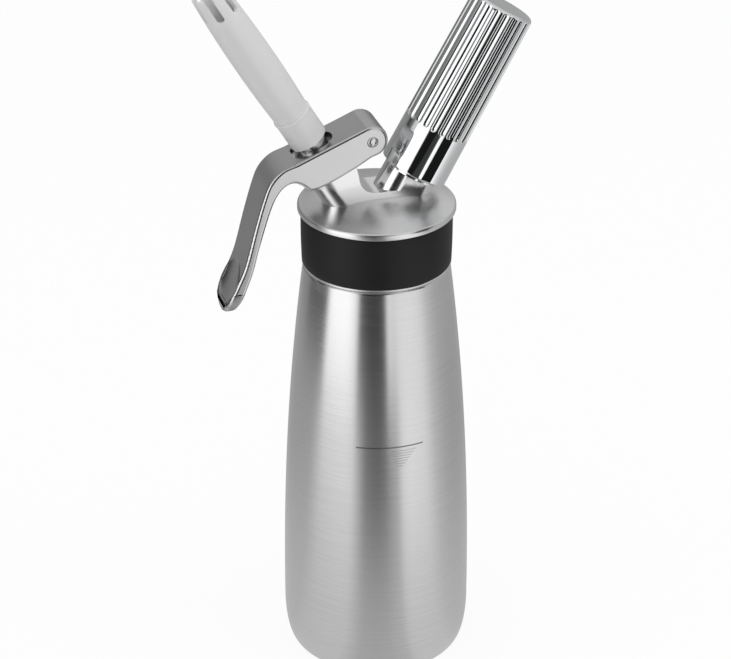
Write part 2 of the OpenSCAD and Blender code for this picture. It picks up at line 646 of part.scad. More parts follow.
module charger_holder() color([0.82, 0.83, 0.85]) on_charger() {
    flute_s0 = holder_s0 + smooth_h;
    flute_s1 = holder_top - holder_lip;
    lean = atan((holder_r - holder_top_r) / holder_l);
    difference() {
        rotate_extrude() polygon(concat(
            [[0, holder_s0], [holder_r - 0.8, holder_s0], [holder_r, holder_s0 + 0.8]],
            arc([holder_top_r - holder_round, holder_top - holder_round], holder_round, 0, 90, 6),
            [[0, holder_top]]));
        // bore for the port, then for the liner
        translate([0, 0, holder_s0 - 1]) cylinder(r = holder_in, h = port_top - holder_s0 + 1.5);
        translate([0, 0, holder_s0]) cylinder(r = liner_r + part_clear, h = cyl_top + 0.5 - holder_s0);
        // grip flutes with rounded lower ends
        for (i = [0 : flute_count - 1]) rotate([0, 0, 360 * i / flute_count])
            translate([holder_r - (holder_r - holder_top_r) * smooth_h / holder_l
                + flute_r - flute_depth, 0, flute_s0]) rotate([0, -lean, 0]) {
                cylinder(r = flute_r, h = flute_s1 - flute_s0, $fn = 24);
                sphere(r = flute_r, $fn = 24);
                translate([0, 0, flute_s1 - flute_s0]) sphere(r = flute_r, $fn = 24);
            }
    }
}

module holder_liner() color([0.2, 0.2, 0.22]) on_charger()
    tube(liner_r, liner_r - liner_t, liner_s0, liner_top);

module gas_charger() color([0.6, 0.62, 0.64]) on_charger() {
    s0 = cyl_s0 + foil_t;
    s1 = s0 + cyl_neck_l;
    s2 = s1 + cyl_shoulder_l;
    end = s0 + cyl_l;
    ease = [for (t = [0 : 0.125 : 1]) (1 - cos(180 * t)) / 2];
    outer = [for (i = [0 : 8]) [cyl_neck_r + (cyl_r - cyl_neck_r) * ease[i],
        s1 + cyl_shoulder_l * i / 8]];
    inner = [for (i = [8 : -1 : 0]) [outer[i][0] - cyl_wall, outer[i][1] + 0.6]];
    cap = [for (a = [0 : 15 : 90]) [cyl_r * cos(a), end - 5 + 5 * sin(a)]];
    cap_in = [for (a = [90 : -15 : 0]) [(cyl_r - cyl_wall) * cos(a), end - 5 + (5 - cyl_wall) * sin(a)]];
    rotate_extrude() polygon(concat([[1.4, s0], [cyl_neck_r, s0]], outer,
        cap, cap_in, inner, [[cyl_neck_r - cyl_wall, s0 + 1.5], [1.4, s0 + 1.5]]));
}

module charger_foil() color([0.85, 0.85, 0.86]) on_charger()
    translate([0, 0, cyl_s0]) cylinder(r = cyl_neck_r - 0.3, h = foil_t);

module port_gasket() color([0.75, 0.1, 0.08]) on_charger()
    tube(socket_r + 0.4, needle_r + 0.8, port_seat, cyl_s0);

module piercing_insert() color([0.75, 0.65, 0.35]) on_charger()
    tube(insert_r, needle_r, port_seat - insert_l, port_seat);

module piercing_needle() color([0.8, 0.8, 0.82]) on_charger() difference() {
    low = port_seat - insert_l - 3;
    top = cyl_s0 - 0.3;
    rotate_extrude() polygon([[0, low], [needle_r, low], [needle_r, top - needle_reach / 2],
        [0, top]]);
    translate([0, 0, low - 1]) cylinder(r = needle_r / 2, h = top - low - 1);
}

module needle_gasket() color([0.1, 0.1, 0.1]) on_charger()
    tube(insert_r - 1.5, needle_r + sleeve_t + 0.1, port_seat - insert_l - 1.2, port_seat - insert_l);

module check_valve() color([0.8, 0.78, 0.7]) on_charger()
    tube(needle_r + sleeve_t, needle_r, port_seat - insert_l - sleeve_l, port_seat - insert_l);

bottle();
head();
grip_band();
head_gasket();
lever();
pivot_pin();
pivot_washers();
valve_bush();
valve_stem();
stem_o_ring();
valve_seal();
seal_cap();
valve_spring();
nozzle_adapter();
nozzle_insert();
nozzle();
charger_holder();
holder_liner();
gas_charger();
charger_foil();
port_gasket();
piercing_insert();
piercing_needle();
needle_gasket();
check_valve();
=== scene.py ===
import math

import bmesh
import bpy
from mathutils import Euler, Matrix, Vector


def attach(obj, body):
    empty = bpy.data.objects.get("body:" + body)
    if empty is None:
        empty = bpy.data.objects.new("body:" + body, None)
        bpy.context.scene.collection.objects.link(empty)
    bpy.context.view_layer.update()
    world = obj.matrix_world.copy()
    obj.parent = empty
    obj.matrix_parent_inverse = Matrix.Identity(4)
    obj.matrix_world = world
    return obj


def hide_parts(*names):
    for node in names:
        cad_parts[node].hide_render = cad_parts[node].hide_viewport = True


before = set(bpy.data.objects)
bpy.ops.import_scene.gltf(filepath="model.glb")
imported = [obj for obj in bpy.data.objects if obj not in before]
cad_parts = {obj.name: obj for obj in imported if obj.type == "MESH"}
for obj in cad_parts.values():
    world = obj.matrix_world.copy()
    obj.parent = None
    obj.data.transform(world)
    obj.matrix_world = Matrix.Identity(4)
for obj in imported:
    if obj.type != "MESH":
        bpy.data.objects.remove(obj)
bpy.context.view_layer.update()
print("frame loaded:", len(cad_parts), "CAD nodes")

mm = 0.001
rimZ = 206.5                       # rim plane of the head, the origin of both leaning axes
valveAxis = {"x": -9.7, "lean": -31}
chargerAxis = {"x": 8.8, "lean": 29.1}


# ---- shader helpers

class Value:
    # wraps a socket, so that shader maths reads like maths
    def __init__(self, graph, socket):
        self.graph = graph
        self.socket = socket

    def out(self, name):
        return Value(self.graph, self.socket.node.outputs[name])

    def maths(self, operation, *others):
        inputs = dict(enumerate((self,) + others))
        return self.graph.node("ShaderNodeMath", {"operation": operation}, inputs)

    def __add__(self, other):
        return self.maths("ADD", other)

    __radd__ = __add__

    def __sub__(self, other):
        return self.maths("SUBTRACT", other)

    def __rsub__(self, other):
        return (self * -1) + other

    def __mul__(self, other):
        return self.maths("MULTIPLY", other)


class Graph:
    def __init__(self, tree):
        self.tree = tree
        tree.nodes.clear()

    def node(self, kind, settings=None, values=None, output=0):
        made = self.tree.nodes.new(kind)
        for key, setting in (settings or {}).items():
            if key == "stops":
                ramp = made.color_ramp
                while len(ramp.elements) < len(setting):
                    ramp.elements.new(0.5)
                for element, (position, tone) in zip(ramp.elements, setting):
                    element.position = position
                    element.color = (tone, tone, tone, 1)
            else:
                setattr(made, key, setting)
        for key, value in (values or {}).items():
            if isinstance(value, Value):
                self.tree.links.new(value.socket, made.inputs[key])
            else:
                made.inputs[key].default_value = value
        return Value(self, made.outputs[output]) if made.outputs else made

    def place(self, centre=(0, 0, 0), lean=0):
        # object coordinates in metres, brought upright round a leaning axis
        coordinates = self.node("ShaderNodeTexCoord", output="Object")
        return self.node("ShaderNodeMapping", {"vector_type": "TEXTURE"}, {
            "Vector": coordinates, "Location": centre, "Rotation": (0, math.radians(lean), 0)})

    def stretched(self, where, scale):
        return self.node("ShaderNodeMapping", None, {"Vector": where, "Scale": scale})

    def noise(self, where, scale, detail=4, roughness=0.5):
        return self.node("ShaderNodeTexNoise", {"normalize": True}, {
            "Vector": where, "Scale": scale, "Detail": detail, "Roughness": roughness}, "Fac")

    def span(self, value, low, high, toLow=0, toHigh=1):
        return self.node("ShaderNodeMapRange", {"interpolation_type": "SMOOTHSTEP"}, {
            "Value": value, "From Min": low, "From Max": high, "To Min": toLow, "To Max": toHigh})

    def blend(self, factor, first, second):
        return self.node("ShaderNodeMix", {"data_type": "RGBA"}, {
            "Factor": factor, 6: first, 7: second}, 2)

    def bump(self, height, strength, distance):
        return self.node("ShaderNodeBump", None, {
            "Height": height, "Strength": strength, "Distance": distance})

    def surface(self, values):
        shader = self.node("ShaderNodeBsdfPrincipled", None, values)
        self.node("ShaderNodeOutputMaterial", None, {"Surface": shader})


def newMaterial(name):
    material = bpy.data.materials.new(name)
    material.use_nodes = True
    return material, Graph(material.node_tree)


def grey(level, tint=(1, 1, 1)):
    return tuple(level * t for t in tint) + (1,)


# ---- finishes

def axisOf(axis):
    return (axis["x"] * mm, 0, rimZ * mm), axis["lean"]


def satinCast(name, tone, roughness):
    # vibration-finished casting: even satin with a faint cloud and fine grain
    grain = 0.04
    material, graph = newMaterial(name)
    where = graph.place()
    cloud = graph.noise(where, 60, 4, 0.55)
    speck = graph.noise(where, 1800, 2, 0.5)
    drift = graph.noise(graph.stretched(where, (150, 40, 60)), 1, 4, 0.6)
    mask = graph.span(cloud * 0.5 + drift * 0.5, 0.35, 0.65)
    colour = graph.blend(mask, grey(tone * (1 - grain)), grey(tone * (1 + grain * 0.6)))
    graph.surface({
        "Base Color": colour, "Metallic": 1.0,
        "Roughness": roughness + (mask - 0.5) * 0.05,
        "Normal": graph.bump(speck * 0.3 + drift, 0.06, 0.00002)})
    return material


def headFinish():
    # the dome is brushed matt round the bottle's axis, the block on it is smoother and paler
    material, graph = newMaterial("headSteel")
    where = graph.place()
    parts = graph.node("ShaderNodeSeparateXYZ", None, {0: where})
    across = parts * parts + parts.out("Y") * parts.out("Y")
    dome = (1 - across * (1 / (domeRadius * mm) ** 2)) * (headSize["domeRise"] * mm)
    rise = parts.out("Z") - rimZ * mm - dome
    block = graph.span(rise, 0.0001, 0.0004)
    fine = graph.noise(graph.stretched(where, (900, 900, 300)), 1, 3, 0.6)
    cloud = graph.noise(where, 60, 4, 0.55)
    mask = graph.span(cloud * 0.5 + fine * 0.5, 0.36, 0.64)
    dull = graph.blend(block, grey(0.78), grey(0.86))
    bright = graph.blend(block, grey(0.84), grey(0.89))
    graph.surface({
        "Base Color": graph.blend(mask, dull, bright), "Metallic": 1.0,
        "Roughness": 0.30 - block * 0.14 + (mask - 0.5) * 0.05,
        "Normal": graph.bump(fine, 0.05, 0.00002)})
    return material


def bottleFinish():
    mark = bottleSize["fillMark"]
    material, graph = newMaterial("bottleSteel")
    where = graph.place()
    parts = graph.node("ShaderNodeSeparateXYZ", None, {0: where})
    height = parts.out("Z")
    turn = parts.maths("ARCTAN2", parts.out("Y") * -1) * (180 / math.pi)   # degrees right of the front
    fine = graph.noise(graph.stretched(where, (60, 60, 6500)), 1, 3, 0.6)
    broad = graph.noise(graph.stretched(where, (26, 26, 900)), 1, 3, 0.5)
    cloud = graph.noise(graph.stretched(where, (28, 28, 12)), 1, 4, 0.55)
    mask = graph.span(fine * 0.7 + broad * 0.3, 0.36, 0.64)
    colour = graph.blend(mask, grey(0.66), grey(0.71))

    def stroke(z, thick, low, high):
        # a printed line at a height in mm, from one turn to another in degrees
        above = (height - z * mm).maths("ABSOLUTE")
        aside = (turn - (low + high) / 2).maths("ABSOLUTE")
        half = (high - low) / 2
        inside = graph.span(aside, half - mark["soft"], half + mark["soft"], 1, 0)
        return graph.span(above, thick * mm * 0.4, thick * mm * 0.7, 1, 0) * inside

    lines = stroke(mark["z"], mark["thick"], mark["from"], mark["to"])
    for step in range(mark["hatches"]):
        shorter = (mark["hatchTo"] - mark["hatchFrom"]) * step / mark["hatches"]
        z = mark["z"] - mark["drop"] - step * mark["pitch"]
        start = mark["hatchFrom"] + shorter * 0.25
        end = mark["hatchTo"] - shorter * 0.6
        lines = lines.maths("MAXIMUM", stroke(z, mark["thick"] * 0.6, start, end) * 0.5)
    marked = graph.blend(lines * 0.8, colour, grey(0.12))
    graph.surface({
        "Base Color": marked, "Metallic": 1.0,
        "Roughness": 0.24 + (mask - 0.5) * 0.05 + (cloud - 0.5) * 0.10 + lines * 0.2,
        "Anisotropic": 0.6, "Anisotropic Rotation": 0.25,
        "Normal": graph.bump(mask, 0.05, 0.00001)})
    return material


def chromeFinish():
    material, graph = newMaterial("holderChrome")
    where = graph.place()
    smear = graph.noise(graph.stretched(where, (60, 60, 25)), 1, 4, 0.55)
    mask = graph.span(smear, 0.4, 0.7)
    colour = graph.blend(mask, grey(0.93, (0.98, 0.99, 1)), grey(0.89, (0.97, 0.99, 1)))
    graph.surface({
        "Base Color": colour,
        "Metallic": 1.0,
        "Roughness": 0.03 + mask * 0.02,
        "Normal": graph.bump(smear, 0.05, 0.0002)})
    return material


def rubberFinish(name, tone, roughness=0.52):
    # the tone is the red level, then green and blue as shares of it
    material, graph = newMaterial(name)
    where = graph.place()
    grain = graph.noise(where, 1500, 3, 0.6)
    cloud = graph.noise(where, 90, 3, 0.5)
    red, *others = tone
    tint = (1, *others)
    graph.surface({
        "Base Color": graph.blend(cloud, grey(red * 0.85, tint), grey(red * 1.15, tint)),
        "Roughness": roughness + (cloud - 0.5) * 0.1,
        "Specular IOR Level": 0.3,
        "Normal": graph.bump(grain, 0.18, 0.00004)})
    return material


def plasticFinish(name, level, roughness, translucence):
    material, graph = newMaterial(name)
    where = graph.place(*axisOf(valveAxis))
    cloud = graph.noise(graph.stretched(where, (90, 90, 25)), 1, 3, 0.5)
    grain = graph.noise(where, 900, 2, 0.5)
    tint = (1, 1, 1.01)
    graph.surface({
        "Base Color": graph.blend(cloud, grey(level * 0.97, tint), grey(level * 1.02, tint)),
        "Roughness": roughness + (cloud - 0.5) * 0.08,
        "Subsurface Weight": translucence,
        "Subsurface Radius": (1.0, 1.0, 1.0),
        "Subsurface Scale": 0.004,
        "Normal": graph.bump(grain, 0.06, 0.00003)})
    return material


def metalFinish(name, colour, roughness, axis=None):
    # turned small parts: rings round their axis
    material, graph = newMaterial(name)
    where = graph.place(*axisOf(axis)) if axis else graph.place()
    rings = graph.noise(graph.stretched(where, (60, 60, 3000)), 1, 3, 0.6)
    stain = graph.noise(where, 140, 3, 0.5)
    dark = tuple(0.85 * c for c in colour)
    graph.surface({
        "Base Color": graph.blend(stain, dark + (1,), tuple(colour) + (1,)),
        "Metallic": 1.0,
        "Roughness": roughness + (rings - 0.5) * 0.15,
        "Normal": graph.bump(rings, 0.1, 0.00002)})
    return material


# ---- modelling helpers

def alone(piece):
    bpy.ops.object.select_all(action="DESELECT")
    piece.select_set(True)
    bpy.context.view_layer.objects.active = piece


def arc(centre, radius, start, end, steps=8):
    turns = [math.radians(start + (end - start) * i / steps) for i in range(steps + 1)]
    return [(centre[0] + radius * math.cos(a), centre[1] + radius * math.sin(a)) for a in turns]


def smoothCurve(points, steps=6):
    # a smooth line through the points
    result = []
    last = len(points) - 1
    for i in range(last):
        a, b = Vector(points[max(i - 1, 0)]), Vector(points[i])
        c, d = Vector(points[i + 1]), Vector(points[min(i + 2, last)])
        for k in range(steps):
            t = k / steps
            p = 0.5 * (2 * b + (c - a) * t + (2 * a - 5 * b + 4 * c - d) * t * t
                       + (3 * b - a - 3 * c + d) * t ** 3)
            result.append((p.x, p.y))
    return result + [tuple(points[last])]


def turned(name, profile, segments):
    # a turned piece: one ring is extruded along the profile of (radius, height) in mm.
    # A profile that starts and ends at radius 0 is closed at its poles, any other is closed as a ring.
    rings = [point for point in profile if point[0] > 0]
    polar = profile[0][0] == 0
    bpy.ops.object.select_all(action="DESELECT")
    radius, height = rings[0]
    bpy.ops.mesh.primitive_circle_add(vertices=segments, radius=radius * mm, location=(0, 0, height * mm))
    piece = bpy.context.object
    piece.name = name
    bpy.ops.object.mode_set(mode="EDIT")
    bpy.ops.mesh.select_all(action="SELECT")

    def nextRing(toRadius, toHeight, fromRadius, fromHeight):
        bpy.ops.mesh.extrude_region_move(
            TRANSFORM_OT_translate={"value": (0, 0, (toHeight - fromHeight) * mm)})
        factor = toRadius / fromRadius
        if factor != 1:
            bpy.ops.transform.resize(value=(factor, factor, 1), center_override=(0, 0, toHeight * mm))

    def closedAt(pole, fromRadius, fromHeight):
        middle = (fromHeight + pole) / 2
        nextRing(fromRadius * 0.5, middle, fromRadius, fromHeight)
        nextRing(fromRadius * 0.25, pole, fromRadius * 0.5, middle)
        bpy.ops.mesh.merge(type="CENTER")

    for (r0, z0), (r1, z1) in zip(rings, rings[1:]):
        nextRing(r1, z1, r0, z0)
    if polar:
        closedAt(profile[-1][1], *rings[-1])
    bpy.ops.mesh.select_mode(type="EDGE")
    bpy.ops.mesh.select_all(action="DESELECT")
    bpy.ops.mesh.select_non_manifold()
    if polar:
        closedAt(profile[0][1], radius, height)
    else:
        bpy.ops.mesh.bridge_edge_loops()
    bpy.ops.mesh.select_mode(type="VERT")
    bpy.ops.mesh.select_all(action="SELECT")
    bpy.ops.mesh.normals_make_consistent(inside=False)
    bpy.ops.object.mode_set(mode="OBJECT")
    bpy.ops.object.transform_apply(location=True, rotation=True, scale=True)
    return piece


def drawn(name, outline, width):
    # an outline in X and Z, in mm, drawn point by point and extruded along Y
    bpy.ops.object.select_all(action="DESELECT")
    x, z = outline[0]
    bpy.ops.mesh.primitive_plane_add(size=mm, location=(x * mm, -width / 2 * mm, z * mm))
    piece = bpy.context.object
    piece.name = name
    bpy.ops.object.mode_set(mode="EDIT")
    bpy.ops.mesh.select_all(action="SELECT")
    bpy.ops.mesh.merge(type="CENTER")
    for (x0, z0), (x1, z1) in zip(outline, outline[1:]):
        bpy.ops.mesh.extrude_region_move(
            TRANSFORM_OT_translate={"value": ((x1 - x0) * mm, 0, (z1 - z0) * mm)})
    bpy.ops.mesh.select_all(action="SELECT")
    bpy.ops.mesh.edge_face_add()
    bpy.ops.mesh.extrude_region_move(TRANSFORM_OT_translate={"value": (0, width * mm, 0)})
    bpy.ops.mesh.select_all(action="SELECT")
    bpy.ops.mesh.normals_make_consistent(inside=False)
    bpy.ops.object.mode_set(mode="OBJECT")
    bpy.ops.object.transform_apply(location=True, rotation=True, scale=True)
    return piece


def pulled(piece, direction, distance):
    # the half of a piece on the side of a direction moves that way by a distance in mm
    direction = Vector(direction)
    bpy.ops.object.mode_set(mode="EDIT")
    bpy.ops.mesh.select_mode(type="VERT")
    mesh = bmesh.from_edit_mesh(piece.data)
    for vertex in mesh.verts:
        vertex.select = vertex.co.dot(direction) > 1e-6
    mesh.select_flush(True)
    bmesh.update_edit_mesh(piece.data)
    bpy.ops.transform.translate(value=direction * (distance * mm))
    bpy.ops.object.mode_set(mode="OBJECT")


def stadium(name, radius, longer, low, high):
    # an upright rod with a stadium section: a cylinder whose +X half is drawn out
    bpy.ops.object.select_all(action="DESELECT")
    bpy.ops.mesh.primitive_cylinder_add(vertices=64, radius=radius * mm, depth=(high - low) * mm,
                                        location=(0, 0, (low + high) / 2 * mm))
    piece = bpy.context.object
    piece.name = name
    bpy.ops.object.transform_apply(location=True)
    pulled(piece, (1, 0, 0), longer)
    return piece


def move(piece, place=(0, 0, 0), lean=0, turn=(0, 0, 0)):
    # places are in mm, turns in degrees; the mesh takes them and the object stays at the origin
    alone(piece)
    piece.matrix_world = (Matrix.Translation(Vector(place) * mm)
                          @ Euler((0, math.radians(lean), 0)).to_matrix().to_4x4()
                          @ Euler([math.radians(a) for a in turn]).to_matrix().to_4x4()
                          @ piece.matrix_world)
    bpy.ops.object.transform_apply(location=True, rotation=True, scale=True)
    return piece


def onAxis(piece, axis):
    return move(piece, (axis["x"], 0, rimZ), axis["lean"])


def combined(piece, other, operation):
    alone(piece)
    bpy.ops.object.modifier_add(type="BOOLEAN")
    modifier = piece.modifiers[-1]
    modifier.object = other
    modifier.operation = operation
    modifier.solver = "EXACT"
    bpy.ops.object.modifier_apply(modifier=modifier.name)
    bpy.data.objects.remove(other)


def cut(piece, *others):
    for other in others:
        combined(piece, other, "DIFFERENCE")


def joined(piece, *others):
    for other in others:
        combined(piece, other, "UNION")


def merged(piece, distance):
    alone(piece)
    bpy.ops.object.mode_set(mode="EDIT")
    bpy.ops.mesh.select_all(action="SELECT")
    bpy.ops.mesh.remove_doubles(threshold=distance * mm)
    bpy.ops.object.mode_set(mode="OBJECT")


def edgesRounded(piece, width, segments, chosen):
    # bevels the sharp edges of which both ends, in mm, pass the test
    sharpAngle = math.radians(50)
    alone(piece)
    bpy.ops.object.mode_set(mode="EDIT")
    bpy.ops.mesh.select_mode(type="EDGE")
    bpy.ops.mesh.select_all(action="DESELECT")
    mesh = bmesh.from_edit_mesh(piece.data)
    for edge in mesh.edges:
        sharp = edge.is_manifold and edge.calc_face_angle(0) > sharpAngle
        edge.select = sharp and all(chosen(*(vertex.co / mm)) for vertex in edge.verts)
    mesh.select_flush(True)
    bmesh.update_edit_mesh(piece.data)
    bpy.ops.mesh.bevel(offset=width * mm, segments=segments, affect="EDGES", clamp_overlap=False)
    bpy.ops.mesh.select_mode(type="VERT")
    bpy.ops.object.mode_set(mode="OBJECT")


def rounded(piece, width, angle, segments):
    alone(piece)
    bpy.ops.object.modifier_add(type="BEVEL")
    modifier = piece.modifiers[-1]
    modifier.width = width * mm
    modifier.segments = segments
    modifier.limit_method = "ANGLE"
    modifier.angle_limit = math.radians(angle)
    bpy.ops.object.modifier_apply(modifier=modifier.name)


def finished(piece, material, body, slotName, *replaced, angle=32, weighted=False):
    alone(piece)
    bpy.ops.object.shade_smooth_by_angle(angle=math.radians(angle))
    if weighted:
        bpy.ops.object.modifier_add(type="WEIGHTED_NORMAL")
        modifier = piece.modifiers[-1]
        modifier.keep_sharp = True
        bpy.ops.object.modifier_apply(modifier=modifier.name)
    piece.data.materials.clear()
    piece.data.materials.append(material)
    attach(piece, body)
    if replaced:
        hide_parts(*replaced)
    print("made", piece.name, len(piece.data.polygons), "faces")


# ---- bottle

bottleSize = {
    "radius": 39.58, "footRadius": 35.4, "bellyZ": 18.9, "height": 179.8,
    "shoulderRadius": 30.1, "taperPower": 2.16, "shoulderRound": 1.6,
    "neckRadius": 26.4, "neckTop": 201.6, "neckWall": 1.3, "wall": 0.9, "floor": 1.6,
    "threadDepth": 0.9, "threadPitch": 4, "threadStart": 3.2, "threads": 3,
    "footRingIn": 30, "footRecess": 0.7,
    # the fill line in degrees from the front, and the short strokes under it
    "fillMark": {"z": 111.8, "thick": 0.55, "from": -30.3, "to": 14.1, "drop": 1.8, "pitch": 1.15,
                 "hatches": 7, "hatchFrom": -8, "hatchTo": 9, "soft": 0.2},
}


def bottleSide(z):
    s = bottleSize
    t = max(z - s["bellyZ"], 0) / (s["height"] - s["bellyZ"])
    return s["radius"] + (s["shoulderRadius"] - s["radius"]) * t ** s["taperPower"]


def makeBottle():
    s = bottleSize
    corner = [(s["footRadius"] + (s["radius"] - s["footRadius"]) * math.sin(math.radians(a)),
               s["bellyZ"] * (1 - math.cos(math.radians(a)))) for a in range(0, 90, 5)]
    topZ = s["height"] - s["shoulderRound"]
    side = [(bottleSide(z), z) for z in
            [s["bellyZ"] + (topZ - s["bellyZ"]) * i / 44 for i in range(45)]]
    shoulder = arc((side[-1][0] - s["shoulderRound"], topZ), s["shoulderRound"], 10, 90, 8)
    mouth = s["neckRadius"] - s["neckWall"]
    ridges = []
    for i in reversed(range(s["threads"])):
        z = s["neckTop"] - s["threadStart"] - i * s["threadPitch"]
        crest = s["neckRadius"] + s["threadDepth"]
        ridges += [(s["neckRadius"], z - 1), (crest - 0.1, z - 0.5), (crest, z), (crest - 0.1, z + 0.5),
                   (s["neckRadius"], z + 1)]
    neck = [(s["neckRadius"], s["height"])] + ridges + [
        (s["neckRadius"], s["neckTop"] - 0.4), (s["neckRadius"] - 0.4, s["neckTop"]),
        (mouth + 0.3, s["neckTop"]), (mouth, s["neckTop"] - 0.4)]
    inside = [(mouth, s["height"] - s["wall"])]
    inside += [(r - s["wall"], z) for r, z in reversed(side[::3])]
    inside += [(r - s["wall"], s["floor"] + z * (1 - s["floor"] / s["bellyZ"]))
               for r, z in reversed(corner[::2])]
    base = [(0, s["footRecess"]), (s["footRingIn"] - 1.5, s["footRecess"]), (s["footRingIn"] - 0.5, 0.4),
            (s["footRingIn"], 0)]
    profile = base + corner + side + shoulder + neck + inside + [(0, s["floor"])]
    piece = turned("bottleShell", profile, 160)
    finished(piece, bottleFinish(), "bottle", "bottle_steel", "bottle", angle=40)


# ---- head

headSize = {
    "rimRadius": 32.2, "rimThick": 2.9, "rimRound": 1.2, "domeRise": 4.6,
    "skirtIn": 27.45, "skirtOut": 28.75, "bandHeight": 22.6, "lipRadius": 30.55, "lipHeight": 0.9,
    "hollowRadius": 23.4,
    "blockHalf": 8, "noseOffset": 2, "housingTop": 21.5,
    "saddleX": -1.6, "saddleZ": 7, "saddleRadius": 8, "saddleLip": 1.2, "saddleRise": 5,
    "shoulderX": 2.4, "shoulderUp": 5,
    "pinX": -4.8, "pinZ": 30.4, "earRadius": 4, "earSide": 35,
    "blockFrom": -22, "blockLength": 36, "pinBore": 2.05, "pinReach": 12,
    "portRadius": 11.2, "portTop": 25, "portSeat": 12.5,
    "grooves": 4, "grooveStart": 8.4, "groovePitch": 2, "grooveDepth": 0.5,
    "needleBore": 3.6, "needleTop": 4.5, "insertBore": 5, "gasketBore": 5.8,
    "funnelZ": 20.5, "mouthBore": 10.1, "footRound": 0.7,
    "footIn": 12, "footOut": 11, "footTop": 13.2, "footZ": 0.5, "bossRadius": 7.6, "portEnd": -8,
    "bushRadius": 5.2, "springBore": 6.1, "bushTop": 7, "throatRadius": 6.6, "housingEnd": -10,
    "edgeRound": 0.55,
}
domeRadius = headSize["rimRadius"] - headSize["rimRound"]


def domeZ(r):
    return headSize["domeRise"] * (1 - (r / domeRadius) ** 2)


def alongValve(x, t):
    a = math.radians(-valveAxis["lean"])
    return (valveAxis["x"] + x * math.cos(a) - t * math.sin(a), x * math.sin(a) + t * math.cos(a))


